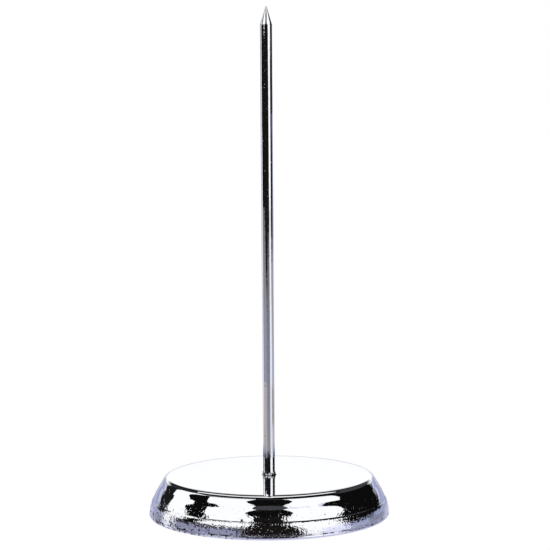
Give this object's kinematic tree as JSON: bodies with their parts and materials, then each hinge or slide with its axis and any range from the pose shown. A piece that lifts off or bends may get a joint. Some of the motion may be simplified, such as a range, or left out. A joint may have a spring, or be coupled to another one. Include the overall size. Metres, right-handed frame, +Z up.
{
  "type": "receipt spike",
  "caption": "Upright pointed wire on a round, stepped, weighted chrome base with a felt underside, for spiking paper receipts on a counter.",
  "frame": {"origin": "on the desk, on the axis of the rod, under the middle of the pad", "axes": "+Z up along the rod, towards its point; +X to the right and -Y towards the viewer in the picture"},
  "size_m": [0.08, 0.08, 0.1682],
  "materials": {
    "rod_chrome": "polished plate, lightly scratched by paper",
    "collar_chrome": "plated over a turned, notched surface",
    "shell_chrome": "mirror plate with fine pits",
    "cast_iron": "rough as cast",
    "zinc_plate": "bright zinc plate",
    "felt": "pressed black felt"
  },
  "bodies": {
    "root": {"spike_rod": "rod_chrome", "seat_collar": "collar_chrome", "base_shell": "shell_chrome", "ballast_weight": "cast_iron", "flat_washer": "zinc_plate", "spring_washer": "zinc_plate", "hex_nut": "zinc_plate", "felt_pad": "felt"}
  },
  "joints": []
}
